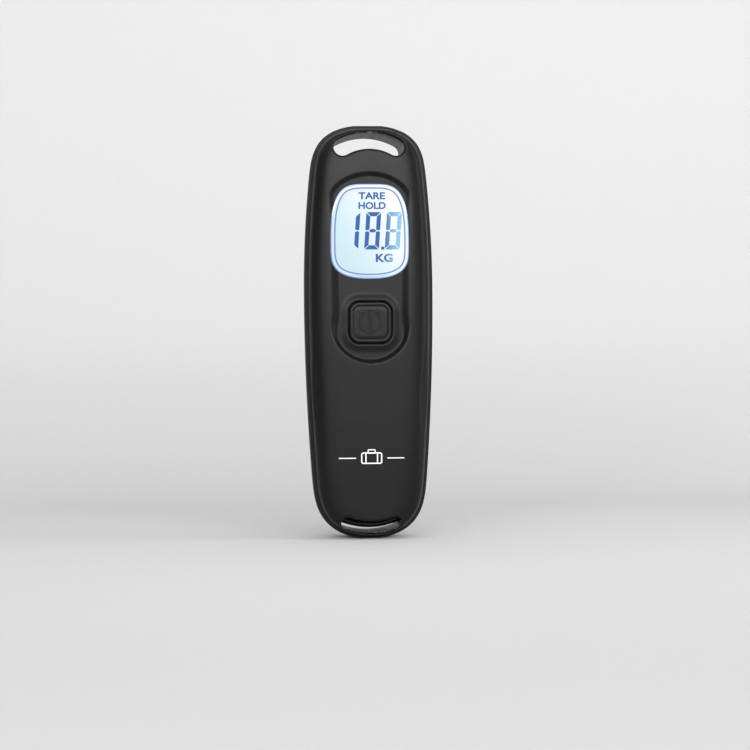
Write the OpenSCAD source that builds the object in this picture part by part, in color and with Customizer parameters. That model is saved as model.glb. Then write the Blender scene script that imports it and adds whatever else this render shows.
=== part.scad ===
// Hand-held digital luggage scale, held upright. +Z runs to the hand-slot end, +X across the width,
// and the display looks along -Y. The origin is the middle of the hand slot, on the body's mid plane.
// A "drop" is a distance down from the top end, and all sizes are millimetres.

/* [Body] */
// Overall length, end to end
body_length = 122; // [118:1:150]
// Overall width at the widest point
body_width = 38; // [36:0.5:46]
// Overall depth, front face to back face
body_depth = 24; // [23:0.5:30]
// Drop of the widest point
wide_drop = 49; // [40:1:60]
// How far each side has drawn in by the top end
upper_taper = 3.56; // [1.5:0.01:4]
// How far each side has drawn in by the bottom end
lower_taper = 3.61; // [1.8:0.01:5.3]
// How far the front face has fallen back at both ends
face_fall = 1.16; // [0.9:0.02:2.6]
// Wall of the rear shell
rear_wall = 1.8; // [1.5:0.1:2.2]
// Wall of the front shell
front_wall = 1.6; // [1.3:0.1:1.9]
// How far the front shell's edge stands inside the rear shell's edge
seam_step = 1.1; // [0.8:0.1:1.3]
// Depth of the front shell, from the front face to the seam
front_shell_depth = 8; // [7.5:0.5:9]

/* [Slots] */
// Drop of the hand slot's middle
hand_slot_drop = 4.75; // [4.6:0.05:5.2]
// Height of the hand slot
hand_slot_height = 5.3; // [4.6:0.1:5.3]
// Half length of the hand slot's centre line
hand_slot_reach = 7.8; // [6:0.1:8.2]
// Radius of the hand slot's arch
hand_slot_arch = 16; // [14:1:30]
// Height of the strap slot
strap_slot_height = 3.6; // [3:0.1:4]
// Half length of the strap slot's centre line
strap_slot_reach = 7.1; // [6:0.1:7.4]
// Radius of the strap slot's smile
strap_slot_arch = 21.6; // [18:0.1:40]
// Rim between the strap slot and the bottom end
strap_rim = 1.8; // [1.6:0.1:2.4]

/* [Display] */
// Drop of the window's top edge
window_drop = 17.6; // [17.4:0.1:19]
// Height of the window
window_height = 27.9; // [23:0.1:34]
// Width of the window
window_width = 23.2; // [19:0.1:24]
// Thickness of the window
window_thickness = 1.4; // [1:0.1:1.6]
// Thickness of the liquid-crystal cell
lcd_thickness = 2; // [1.8:0.1:2.2]
// Thickness of the light guide
guide_thickness = 2.4; // [2:0.1:2.6]
// Depth of the recess floor behind the front face
recess_depth = 1.8; // [1.5:0.1:2]

/* [Power button] */
// Width of the button's opening
button_width = 12.9; // [11:0.1:15.5]
// Height of the button's opening
button_height = 12.5; // [11:0.1:15]
// Gap between the button and its opening
button_gap = 0.3; // [0.2:0.05:0.4]
// Travel of the button
button_travel = 0.5; // [0.4:0.05:0.6]
// Centre of the button below the window's bottom edge
button_below_window = 12.8; // [12:0.1:14]

/* [Battery] */
// Diameter of the coin cell
coin_diameter = 20; // [16:0.5:20]
// Thickness of the coin cell
coin_thickness = 3.2; // [2:0.1:3.4]
// Drop of the coin cell's centre
coin_drop = 38; // [34:0.5:44]
// Turn that frees the battery cover, in degrees
cover_turn = 50; // [45:1:60]
// Radial gap round the battery cover
cover_gap = 0.25; // [0.2:0.05:0.3]

/* [Weighing gear] */
// Width of the load cell
load_cell_width = 18; // [16:0.5:18.5]
// Height of the load cell
load_cell_height = 24; // [20:0.5:25]
// Depth of the load cell
load_cell_depth = 10; // [8:0.5:11]
// Wire diameter of the strap stirrup
stirrup_wire = 2; // [1.8:0.1:2.2]
// Half width between the stirrup's legs, centre to centre
stirrup_reach = 9.4; // [9:0.1:9.5]
// Movement of the stirrup at full load
pull_travel = 0.4; // [0.3:0.05:0.5]

/* [Fasteners] */
// Shank diameter of the case screws
case_screw = 2.2; // [2:0.1:2.4]
// Shank diameter of the board screws
board_screw = 1.6; // [1.4:0.1:1.8]
// Shank diameter of the load bolts
load_bolt = 4; // [3:0.5:4]

/* [Hidden] */
$fn = 64;

// Small steps: an overshoot for clean cuts, and the play between parts that drop in
over = 0.01;
play = 0.15;

// Fullness of the sections, as the power of a superellipse, and the slight fall of the back
window_widest = 0.62;
window_upper = [4, 2.7];
window_lower = [2.4, 3.9];
front_power = 3.6;
rear_power = 4;
back_fall = 0.37;

// Planes along the depth
face_y = -body_depth / 2;
back_y = body_depth / 2;
seam_y = face_y + front_shell_depth;
floor_y = face_y + recess_depth;
inner_face_y = floor_y + front_wall;
inner_back_y = back_y - rear_wall;

// Display stack, from the recess floor backwards
lens_front_y = floor_y - 0.2;
lens_back_y = lens_front_y + window_thickness;
gasket_thickness = 0.3;
ledge_y = lens_back_y + gasket_thickness;
ledge_thickness = 0.9;
lcd_front_y = ledge_y + ledge_thickness + 0.1;
lcd_middle_y = lcd_front_y + lcd_thickness / 2;
lcd_back_y = lcd_front_y + lcd_thickness;
guide_back_y = lcd_back_y + guide_thickness;
board_front_y = guide_back_y + 0.4;
board_thickness = 1.6;
board_back_y = board_front_y + board_thickness;

// Heights of the display and the board
window_bottom = window_drop + window_height;
lcd_half_width = window_width / 2 + 0.7;
lcd_top = window_drop - 0.3;
contact_ledge = 2.6;
lcd_bottom = window_bottom + 0.3 + contact_ledge;
frame_wall = 0.9;
button_drop = window_bottom + button_below_window;
board_top = lcd_top - frame_wall - 0.3;
board_bottom = button_drop + button_height / 2 + 5.5;
board_half_width = lcd_half_width + 1.6;
recess_bottom = button_drop + 13;
recess_top = window_drop - 3.5;
board_screw_x = button_width / 2 + 5.2;
board_boss_radius = 2.1;
board_screw_drops = [lcd_bottom + frame_wall + 2.1, board_bottom - 2.4];

// Power button
button_corner = 3.3;
button_proud = 1;
flange_overlap = 0.9;
flange_thickness = 0.8;
cap_front_y = floor_y - button_proud;
flange_front_y = inner_face_y + 0.1;
cap_back_y = flange_front_y + flange_thickness;
switch_side = 6;
switch_front_y = board_front_y - 3.5;
plunger_radius = 1.75;
plunger_gap = 0.05;
plunger_tip_y = switch_front_y - 0.8;
plunger_depth = 1.1;

// Battery bay, from the back face forwards
cover_sink = 0.1;
cover_disc = 1.9;
cover_front_y = back_y - cover_sink - cover_disc;
coin_back_y = cover_front_y - 0.2;
coin_front_y = coin_back_y - coin_thickness;
cup_floor_y = coin_front_y - 0.4;
cup_bottom_y = cup_floor_y - 1;
cup_radius = coin_diameter / 2 + 0.3;
skirt_inner = cup_radius + 1.3;
skirt_outer = skirt_inner + 1;
lug_outer = skirt_outer + 1.2;
cover_radius = lug_outer;
collar_radius = cover_radius + cover_gap + 1.5;
skirt_length = 1.7;
lug_thickness = 0.9;
skirt_end_y = cover_front_y - skirt_length;
shelf_y = skirt_end_y + lug_thickness + 0.2;
lug_angle = 24;
lug_count = 3;

// Load path
bracket_drop = board_bottom + 5;
bracket_thickness = 2;
cell_top = bracket_drop + bracket_thickness;
cell_bottom = cell_top + load_cell_height;
cell_middle = (cell_top + cell_bottom) / 2;
beam_half_height = load_cell_height * 0.2;
ring_hole_x = 3.2;
yoke_thickness = 2.5;
yoke_bottom = cell_bottom + yoke_thickness;
bracket_half_width = 12.5;
bracket_leg_y = inner_back_y - 6.2;
bracket_leg_thickness = 1.8;
bracket_leg_length = 8.5;
bracket_screw_x = 9;
bracket_boss_radius = 3.2;
bracket_screw_drop = bracket_drop - 5;
bracket_screw_size = 3;
bolt_head_radius = 3.5;
bolt_head_height = 2.8;
bolt_grip = 5;
strap_slot_drop = body_length - strap_rim - strap_slot_height / 2;
bar_clearance = 0.8;
bar_drop = body_length - rear_wall - stirrup_wire / 2 - pull_travel - bar_clearance;
stirrup_bend = 2.6;
stirrup_arc = strap_slot_arch - 0.6;

// Ceiling of the strap tunnel: it lies between the yoke bolt at full pull and the bar
web_thickness = 1.2;
web_share = 0.405;
bolt_lowest = yoke_bottom + bolt_head_height + pull_travel;
web_middle = bolt_lowest + web_share * (bar_drop - stirrup_wire / 2 - bolt_lowest);

// Case screws
screw_boss_radius = 2.4;
pillar_radius = 2.9;
top_screw_drop = 12.3;
screw_drops = [top_screw_drop, cell_bottom - 4.6];
screw_head_radius = 1.95;
screw_head_height = 1.5;
screw_seat_y = back_y - 9;
screw_bite = 3.6;

// Edge of the outline: bulging sides, and two ends that each have a length and two powers
top_end = 16.4;
bottom_end = 22.2;
top_powers = [3.9, 2.33];
bottom_powers = [4.4, 1.92];
end_flat = 0.2;
function side_width(d) = let (
    reach = d < wide_drop ? wide_drop : body_length - wide_drop,
    taper = d < wide_drop ? upper_taper : lower_taper)
    body_width / 2 - taper * pow((d - wide_drop) / reach, 2);
function end_cap(t, size, powers) =
    t >= size ? 1 : pow(1 - pow(1 - (t + end_flat) / (size + end_flat), powers[0]), 1 / powers[1]);
function half_width(d, inset) =
    (side_width(d) - inset) * end_cap(d - inset, top_end - inset, top_powers)
    * end_cap(body_length - d - inset, bottom_end - inset, bottom_powers);

// Drops of the sections, closer together towards both ends
end_steps = 9;
mid_steps = 10;
function sections(inset) = let (last = body_length - bottom_end) concat(
    [for (k = [0:end_steps - 1]) inset + (top_end - inset) * (1 - cos(90 * k / end_steps))],
    [for (k = [0:mid_steps]) top_end + (last - top_end) * k / mid_steps],
    [for (k = [end_steps - 1:-1:0])
        body_length - inset - (bottom_end - inset) * (1 - cos(90 * k / end_steps))]);

// Depth of a half body at a section: rounded at both ends, and crowned by the fall given
function end_round(t, size, start) =
    t >= size ? 1 : start + (1 - start) * sqrt(max(0, 1 - pow(1 - t / size, 2)));
function crown(d, fall) = fall * pow(2 * d / body_length - 1, 2);
end_roll = 4;
end_start = 0.4;
function half_depth(d, depth, inset, fall) =
    (depth - crown(d, fall)) * end_round(min(d, body_length - d) - inset, end_roll, end_start);

// Half of a lofted body: the flat side lies at y = plane, and the bulge goes along side (-1 or 1)
ring_steps = 18;
function swell(v, power) = sign(v) * pow(abs(v), 2 / power);
function section_ring(d, inset, plane, side, depth, fall, power) = let (
    w = half_width(d, inset),
    h = half_depth(d, depth, inset, fall))
    [for (k = [0:ring_steps]) let (a = 180 * k / ring_steps)
        [w * swell(cos(a), power), plane + side * h * swell(sin(a), power), hand_slot_drop - d]];

module half_body(inset, plane, side, depth, fall, power) {
    drops = sections(inset);
    rows = len(drops);
    cols = ring_steps + 1;
    points = [for (d = drops) each section_ring(d, inset, plane, side, depth, fall, power)];
    first_cap = [for (k = [0:cols - 1]) k];
    last_cap = [for (k = [cols - 1:-1:0]) (rows - 1) * cols + k];
    walls = [for (r = [0:rows - 2], k = [0:cols - 1]) let (
        a = r * cols + k,
        b = r * cols + (k + 1) % cols)
        each [[a, a + cols, b + cols], [a, b + cols, b]]];
    faces = concat([first_cap], [last_cap], walls);
    polyhedron(points, side < 0 ? faces : [for (f = faces) [for (i = [len(f) - 1:-1:0]) f[i]]]);
}

// Outline of the body at the seam, drawn in the XZ plane
module outline(inset) {
    drops = sections(inset);
    right = [for (d = drops) [half_width(d, inset), hand_slot_drop - d]];
    left = [for (k = [len(drops) - 1:-1:0]) [-half_width(drops[k], inset), hand_slot_drop - drops[k]]];
    polygon(concat(right, left));
}

// Extrudes a shape drawn in the XZ plane from depth y0 to depth y1
module across(y0, y1) {
    translate([0, y1, 0]) rotate([90, 0, 0]) linear_extrude(y1 - y0) children();
}
// Places a flat shape at a side distance and a drop
module spot(x, drop) { translate([x, hand_slot_drop - drop]) children(); }
module rod(x, drop, radius, y0, y1) { across(y0, y1) spot(x, drop) circle(radius); }
module mirrored_x() { children(); mirror([1, 0, 0]) children(); }
module rounded_rect(w, h, r) {
    hull() for (x = [-1, 1], z = [-1, 1]) translate([x * (w / 2 - r), z * (h / 2 - r)]) circle(r);
}
// Box between two side distances, two drops and two depths
module block(x0, x1, drop0, drop1, y0, y1) {
    translate([x0, y0, hand_slot_drop - drop1]) cube([x1 - x0, y1 - y0, drop1 - drop0]);
}

// Bent slot: bow is 1 for an arch and -1 for a smile, drop is its middle
module bent_slot(drop, reach, height, radius, bow) {
    swing = asin(reach / radius);
    spot(0, drop) translate([0, -bow * radius]) {
        intersection() {
            difference() {
                circle(radius + height / 2, $fn = 256);
                circle(radius - height / 2, $fn = 256);
            }
            polygon([[0, 0], 2 * radius * [sin(swing), bow * cos(swing)], 2 * radius * [0, bow],
                2 * radius * [-sin(swing), bow * cos(swing)]]);
        }
        for (s = [-1, 1]) translate(radius * [s * sin(swing), bow * cos(swing)]) circle(height / 2);
    }
}
slot_rim = 1.3;
module hand_slot(grow = 0) {
    bent_slot(hand_slot_drop, hand_slot_reach, hand_slot_height + 2 * grow, hand_slot_arch, 1);
}
module strap_slot(grow = 0) {
    bent_slot(strap_slot_drop, strap_slot_reach, strap_slot_height + 2 * grow, strap_slot_arch, -1);
}

// Shield-shaped window, widest two thirds down
function bowed(half, reach, powers, angle) =
    [half * pow(cos(angle), 2 / powers[0]), reach * pow(sin(angle), 2 / powers[1])];
module window_shape(grow = 0) {
    half = window_width / 2;
    above = window_height * window_widest;
    below = window_height - above;
    upper = [for (angle = [90:-3:0]) bowed(half, above, window_upper, angle)];
    lower = [for (angle = [3:3:87]) let (p = bowed(half, below, window_lower, angle)) [p[0], -p[1]]];
    right = concat(upper, lower);
    left = [for (k = [len(right) - 1:-1:1]) [-right[k][0], right[k][1]]];
    offset(delta = grow) spot(0, window_drop + above) polygon(concat(right, [[0, -below]], left));
}
// Tongue-shaped recess round the window and the button
module recess_shape() {
    half = window_width / 2 + 1;
    arch = 16.6;
    hull() {
        spot(0, recess_bottom - half + 0.8) circle(half - 0.8);
        intersection() {
            spot(0, recess_top + arch) circle(arch);
            spot(0, recess_top + arch / 2) square([2 * half, arch], center = true);
        }
    }
}

function screw_x(drop) = half_width(drop, rear_wall) - pillar_radius + 0.3;
module at_case_screws() {
    for (d = screw_drops, s = [-1, 1]) translate([s * screw_x(d), 0, hand_slot_drop - d]) children();
}
module at_board_screws() {
    for (d = board_screw_drops, s = [-1, 1]) translate([s * board_screw_x, 0, hand_slot_drop - d]) children();
}
module at_bracket_screws() {
    for (s = [-1, 1]) translate([s * bracket_screw_x, 0, hand_slot_drop - bracket_screw_drop]) children();
}
// Cylinder along Y from depth y0 to depth y1, and one along Z up from a drop
module y_cylinder(radius, y0, y1) {
    translate([0, y1, 0]) rotate([90, 0, 0]) cylinder(r = radius, h = y1 - y0);
}
module z_cylinder(x, radius, drop, height) {
    translate([x, 0, hand_slot_drop - drop]) cylinder(r = radius, h = height);
}

module front_shell() {
    color("#1c1c1e") difference() {
        union() {
            difference() {
                half_body(seam_step, seam_y, -1, front_shell_depth, face_fall, front_power);
                half_body(seam_step + front_wall, seam_y + over, -1,
                    front_shell_depth - front_wall + over, face_fall, front_power);
            }
            intersection() {
                half_body(seam_step, seam_y, -1, front_shell_depth, face_fall, front_power);
                union() {
                    across(face_y, seam_y) hand_slot(slot_rim);
                    across(face_y, inner_face_y) offset(delta = front_wall) recess_shape();
                    across(face_y, ledge_y + ledge_thickness) window_shape(1.4);
                    at_case_screws() y_cylinder(screw_boss_radius, face_y + 2, seam_y);
                    at_board_screws() y_cylinder(board_boss_radius, face_y + 2, board_front_y);
                }
            }
            at_board_screws() y_cylinder(board_boss_radius, seam_y - over, board_front_y);
            difference() {
                across(seam_y - over, seam_y + 1.2) difference() {
                    outline(rear_wall + play);
                    outline(seam_step + front_wall + over);
                }
                across(seam_y, seam_y + 2) hand_slot(slot_rim + play);
                at_case_screws() y_cylinder(pillar_radius + play, seam_y, seam_y + 2);
            }
        }
        across(face_y - 1, seam_y + 2) hand_slot();
        across(face_y - 1, seam_y + 2) strap_slot();
        across(face_y - 1, floor_y) recess_shape();
        across(face_y - 1, ledge_y) window_shape(play);
        across(face_y - 1, seam_y) window_shape(-1);
        across(face_y - 1, seam_y) spot(0, button_drop)
            rounded_rect(button_width, button_height, button_corner);
        at_case_screws() y_cylinder(case_screw / 2, face_y + 3.2, seam_y + over);
        at_board_screws() y_cylinder(board_screw / 2, inner_face_y + 0.6, board_front_y + over);
    }
}

// Rear half of the body, cut off flat at a depth
module flat_backed(inset, plane, depth, flat_y) {
    intersection() {
        half_body(inset, plane, 1, depth, back_fall, rear_power);
        block(-body_width, body_width, -1, body_length + 1, seam_y - 1, flat_y);
    }
}
module rear_shell() {
    shell_depth = back_y - seam_y;
    bulge = 1.5;
    color("#161617") difference() {
        union() {
            difference() {
                flat_backed(0, seam_y, shell_depth + bulge, back_y);
                flat_backed(rear_wall, seam_y - over, shell_depth + bulge - rear_wall + over, inner_back_y);
            }
            intersection() {
                half_body(0.4, seam_y, 1, shell_depth + bulge - 0.6, back_fall, rear_power);
                union() {
                    across(seam_y, back_y - 0.5) hand_slot(slot_rim);
                    rod(0, coin_drop, collar_radius, cup_bottom_y, back_y - 0.5);
                    at_case_screws() y_cylinder(pillar_radius, seam_y, back_y - 0.5);
                    at_bracket_screws()
                        y_cylinder(bracket_boss_radius, bracket_leg_y + bracket_leg_thickness, back_y - 0.5);
                    block(-strap_slot_reach, strap_slot_reach, web_middle - web_thickness / 2,
                        web_middle + web_thickness / 2, seam_y, back_y - 0.5);
                }
            }
        }
        across(seam_y - 1, back_y + 1) hand_slot();
        across(seam_y - 1, back_y + 1) strap_slot();
        battery_bay();
        at_case_screws() y_cylinder(case_screw / 2 + 0.2, seam_y - over, back_y + 1);
        at_case_screws() y_cylinder(screw_head_radius + 0.2, screw_seat_y, back_y + 1);
        at_bracket_screws() y_cylinder(bracket_screw_size / 2, bracket_leg_y, inner_back_y + 0.4);
    }
}

// Space for the coin cell, its contacts and the cover with its lugs
module battery_bay() {
    rod(0, coin_drop, cup_radius, cup_floor_y, back_y + 1);
    rod(0, coin_drop, cover_radius + cover_gap, cover_front_y - 0.1, back_y + 1);
    across(skirt_end_y - 0.2, back_y) spot(0, coin_drop) ring(skirt_inner - 0.2, skirt_outer + 0.2);
    across(skirt_end_y - 0.2, shelf_y) spot(0, coin_drop) ring(skirt_inner - 0.2, lug_outer + 0.25);
    across(skirt_end_y - 0.2, back_y) spot(0, coin_drop) lugs(lug_outer + 0.25, lug_angle + 5, cover_turn);
    across(cup_bottom_y - 1, cup_floor_y + over) spot(0, coin_drop - 6) square([3.6, 1.4], center = true);
    across(cup_bottom_y - 1, coin_back_y) spot(0, coin_drop + coin_diameter / 2 + 0.2)
        square([4.6, 1], center = true);
}
module ring(inner, outer) { difference() { circle(outer); circle(inner); } }
// Sectors between the skirt and a radius, turned by an angle
module lugs(radius, width, turn) {
    far = 2 * radius;
    intersection() {
        ring(skirt_outer - 0.3, radius);
        for (k = [0:lug_count - 1]) rotate(turn + 90 + 360 * k / lug_count)
            polygon([[0, 0], far * [cos(width / 2), sin(width / 2)], [far * 1.2, 0],
                far * [cos(width / 2), -sin(width / 2)]]);
    }
}

module window_lens() {
    color("#9fd0ea") across(lens_front_y, lens_back_y) window_shape();
}
module window_gasket() {
    color("#2b2b2b") across(lens_back_y, ledge_y) difference() {
        window_shape(-0.1);
        window_shape(-0.95);
    }
}
module lcd_block(bottom, y0, y1) { block(-lcd_half_width, lcd_half_width, lcd_top, bottom, y0, y1); }
module lcd_cell() {
    color("#dff3fa") {
        lcd_block(lcd_bottom, lcd_front_y, lcd_middle_y);
        lcd_block(lcd_bottom - contact_ledge, lcd_middle_y, lcd_back_y);
    }
}
module light_guide() {
    color("#eef7fb") difference() {
        lcd_block(lcd_bottom - contact_ledge, lcd_back_y, guide_back_y);
        for (s = [-1, 1])
            block(lcd_half_width - 1.4, lcd_half_width + 1, led_drop(s) - 1.7, led_drop(s) + 1.7,
                lcd_back_y - over, guide_back_y + over);
    }
}
function led_drop(s) = window_drop + window_height / 2 + s * window_height / 4;
module backlight_leds() {
    color("#f4e9a8") for (s = [-1, 1])
        block(lcd_half_width - 1.2, lcd_half_width - 0.1, led_drop(s) - 1.6, led_drop(s) + 1.6,
            guide_back_y - 1.2, board_front_y);
}
module display_frame() {
    inner = lcd_half_width + play;
    outer = inner + frame_wall;
    color("#e9e9e6") difference() {
        block(-outer, outer, lcd_top - play - frame_wall, lcd_bottom + play + frame_wall,
            lcd_front_y + 0.2, board_front_y);
        block(-inner, inner, lcd_top - play, lcd_bottom + play, lcd_front_y - 1, board_front_y + 1);
        at_board_screws() y_cylinder(board_boss_radius + play, lcd_front_y, board_front_y + 1);
    }
}
module contact_strip() {
    half = lcd_half_width - 1;
    color("#d98c9a")
        block(-half, half, lcd_bottom - contact_ledge + 0.4, lcd_bottom - 0.3, lcd_middle_y, board_front_y);
}
module circuit_board() {
    color("#2f6b3c") difference() {
        block(-board_half_width, board_half_width, board_top, board_bottom, board_front_y, board_back_y);
        at_board_screws() y_cylinder(board_screw / 2 + 0.15, board_front_y - 1, board_back_y + 1);
        at_case_screws() y_cylinder(pillar_radius + 0.3, board_front_y - 1, board_back_y + 1);
    }
}
// Component on the back of the board: its left side, its upper edge, and its three sizes
module component(x, drop, width, height, thickness) {
    block(x, x + width, drop, drop + height, board_back_y, board_back_y + thickness);
}
module board_components() {
    color("#3a3a3c") {
        component(-9.5, button_drop - 8, 5.5, 3.6, 1.5);
        component(4.5, board_top + 3, 5.5, 3.5, 1.2);
        for (k = [0:4]) component(-9.5 + 2.6 * k, button_drop + 1.5, 1.5, 0.9, 0.8);
        for (k = [0:3]) component(6.2, button_drop - 9 + 2.4 * k, 1.6, 1, 0.8);
        rod(-9, board_top + 4.5, 2.4, board_back_y, board_back_y + 3.2);
    }
}
module controller_blob() {
    blob_radius = 5.2;
    blob_height = 1.4;
    sphere_radius = (blob_radius * blob_radius + blob_height * blob_height) / (2 * blob_height);
    color("#101010") translate([0, board_back_y, hand_slot_drop - (window_bottom - 5)]) rotate([-90, 0, 0])
        rotate_extrude() intersection() {
            translate([0, blob_height - sphere_radius]) circle(sphere_radius, $fn = 256);
            square([blob_radius + 1, blob_height + 1]);
        }
}
// Screw along Y: the head is at y1 and beyond, the tip at y0
module y_screw(shank, head, head_height, y0, y1) {
    difference() {
        union() {
            y_cylinder(shank / 2, y0, y1 + over);
            y_cylinder(head, y1, y1 + head_height);
        }
        for (a = [0, 90]) rotate([0, a, 0]) translate([-head * 0.62, y1 + head_height * 0.45, -head * 0.13])
            cube([head * 1.24, head_height, head * 0.26]);
    }
}
module board_screws() {
    color("#b9bcc0") at_board_screws() y_screw(board_screw - 0.02, 1.5, 1.1, inner_face_y + 1, board_back_y);
}
module case_screws() {
    color("#8d9094") at_case_screws()
        y_screw(case_screw - 0.02, screw_head_radius, screw_head_height, seam_y - screw_bite, screw_seat_y);
}

module power_button() {
    cap_w = button_width - 2 * button_gap;
    cap_h = button_height - 2 * button_gap;
    color("#1f1f21") difference() {
        union() {
            rod(0, button_drop, plunger_radius + 0.5, cap_back_y - over, plunger_tip_y);
            across(cap_front_y, cap_back_y) spot(0, button_drop)
                rounded_rect(cap_w, cap_h, button_corner - button_gap);
            across(flange_front_y, cap_back_y) spot(0, button_drop)
                rounded_rect(cap_w + 2 * flange_overlap, cap_h + 2 * flange_overlap, button_corner);
        }
        across(cap_front_y - 1, cap_front_y + 0.3) spot(0, button_drop) power_symbol();
    }
}
// Open ring with a bar through its gap
module power_symbol() {
    difference() {
        ring(2.9, 3.6);
        translate([-1.1, 0]) square([2.2, 5]);
    }
    translate([-0.35, -0.2]) square([0.7, 3.9]);
}
module switch_plunger() {
    color("#c9c9c9") rod(0, button_drop, plunger_radius, plunger_tip_y, switch_front_y + plunger_depth);
}
module switch_body() {
    half = switch_side / 2;
    color("#2a2a2c") difference() {
        block(-half, half, button_drop - half, button_drop + half, switch_front_y, board_front_y);
        rod(0, button_drop, plunger_radius + plunger_gap, switch_front_y - 1,
            switch_front_y + plunger_depth + button_travel + 0.3);
    }
}

module coin_cell() {
    color("#c4c6c8") {
        rod(0, coin_drop, coin_diameter / 2, coin_front_y + 0.6, coin_back_y);
        rod(0, coin_drop, coin_diameter / 2 - 1.4, coin_front_y, coin_front_y + 0.6);
    }
}
module positive_contact() {
    edge = coin_diameter / 2;
    color("#d8b15a") block(-2, 2, coin_drop + edge + 0.02, coin_drop + edge + 0.42,
        cup_bottom_y - 1.6, coin_back_y - 0.4);
}
module negative_contact() {
    color("#d8b15a") {
        block(-2.2, 2.2, coin_drop - 6.5, coin_drop + 4, cup_floor_y, cup_floor_y + 0.38);
        block(-1.5, 1.5, coin_drop - 6.3, coin_drop - 5.8, cup_bottom_y - 1.6, cup_floor_y + 0.1);
    }
}
module battery_cover() {
    color("#18181a") difference() {
        union() {
            rod(0, coin_drop, cover_radius, cover_front_y, back_y - cover_sink);
            across(skirt_end_y, cover_front_y + over) spot(0, coin_drop) ring(skirt_inner, skirt_outer);
            across(skirt_end_y, skirt_end_y + lug_thickness) spot(0, coin_drop)
                lugs(lug_outer, lug_angle, 0);
        }
        across(back_y - cover_sink - 1.1, back_y + 1) spot(0, coin_drop) rounded_rect(15, 2.2, 1.05);
    }
}

// Wire through a list of points [x, y, drop]
module wire(points, radius) {
    function place(p) = [p[0], p[1], hand_slot_drop - p[2]];
    for (k = [0:len(points) - 2]) {
        a = place(points[k]);
        b = place(points[k + 1]);
        run = b - a;
        length = norm(run);
        translate(a) rotate([0, acos(run[2] / length), atan2(run[1], run[0])])
            cylinder(r = radius, h = length, $fn = 24);
        if (k > 0) translate(a) sphere(radius * 1.04, $fn = 24);
    }
}
lead_radius = 0.45;
module battery_leads() {
    tail = cup_bottom_y - 1;
    lift = board_back_y + 2;
    plus = coin_drop + coin_diameter / 2 + 0.42 + lead_radius;
    minus = coin_drop - 6.3 - lead_radius;
    color("#b0302a") wire([[0, tail, plus], [0, lift, plus], [0, lift, plus + 4],
        [0, board_back_y, plus + 4]], lead_radius);
    color("#222222") wire([[0, tail, minus], [0, lift, minus], [0, lift, minus - 4],
        [0, board_back_y, minus - 4]], lead_radius);
}

module anchor_bracket() {
    color("#a9adb1") difference() {
        union() {
            block(-bracket_half_width, bracket_half_width, bracket_drop, cell_top,
                -load_cell_depth / 2, bracket_leg_y + bracket_leg_thickness);
            block(-bracket_half_width, bracket_half_width, bracket_drop - bracket_leg_length,
                bracket_drop + over, bracket_leg_y, bracket_leg_y + bracket_leg_thickness);
        }
        z_cylinder(0, load_bolt / 2 + 0.1, cell_top + 1, bracket_thickness + 2);
        at_bracket_screws() y_cylinder(bracket_screw_size / 2 + 0.1, bracket_leg_y - 1, back_y);
    }
}
module bracket_screws() {
    color("#8d9094") at_bracket_screws() translate([0, bracket_leg_y, 0]) rotate([0, 0, 180])
        y_screw(bracket_screw_size - 0.02, 2.6, 1.7, bracket_leg_y - inner_back_y, 0);
}
// Hexagon bolt along Z, from its seat at a drop; up is 1 when the shank points upwards
module z_bolt(seat_drop, length, up) {
    translate([0, 0, hand_slot_drop - seat_drop]) mirror([0, 0, up > 0 ? 0 : 1]) {
        cylinder(r = load_bolt / 2 - 0.02, h = length);
        translate([0, 0, -bolt_head_height]) cylinder(r = bolt_head_radius, h = bolt_head_height, $fn = 6);
    }
}
module anchor_bolt() { color("#8d9094") z_bolt(bracket_drop, bracket_thickness + bolt_grip, -1); }
module yoke_bolt() { color("#8d9094") z_bolt(yoke_bottom, yoke_thickness + bolt_grip, 1); }

module load_cell() {
    half = load_cell_width / 2;
    depth = load_cell_depth / 2;
    slit = 1.2;
    upper = cell_middle - beam_half_height;
    lower = cell_middle + beam_half_height;
    color("#c8ccd0") difference() {
        block(-half, half, cell_top, cell_bottom, -depth, depth);
        block(-half + 4, half + 1, upper - slit, upper, -depth - 1, depth + 1);
        block(-half - 1, half - 4, lower, lower + slit, -depth - 1, depth + 1);
        for (s = [-1, 1]) rod(s * ring_hole_x, cell_middle, 2.6, -depth - 1, depth + 1);
        block(-ring_hole_x, ring_hole_x, cell_middle - 0.8, cell_middle + 0.8, -depth - 1, depth + 1);
        z_cylinder(0, load_bolt / 2, cell_top + bolt_grip + 0.5, bolt_grip + 1);
        z_cylinder(0, load_bolt / 2, cell_bottom + 0.5, bolt_grip + 1);
    }
}
module strain_gauges() {
    beam_top = cell_middle - beam_half_height;
    color("#e0b23c") for (s = [-1, 1])
        block(s * ring_hole_x - 1.6, s * ring_hole_x + 1.6, beam_top - 0.12, beam_top, -3, 3);
}
module gauge_leads() {
    surface = -load_cell_depth / 2 - lead_radius;
    tints = ["#b0302a", "#1d1d1d", "#e8e8e8", "#2f8a3e"];
    lift = board_back_y + 1.2;
    for (k = [0:3]) let (x = -bolt_head_radius - 1.2 - 1.1 * k) color(tints[k]) wire([
        [x, surface, cell_middle - 3],
        [x, surface, bracket_drop - 1],
        [x, lift, bracket_drop - 3],
        [x, lift, board_bottom - 4],
        [x, board_back_y, board_bottom - 4]], 0.4);
}

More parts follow.
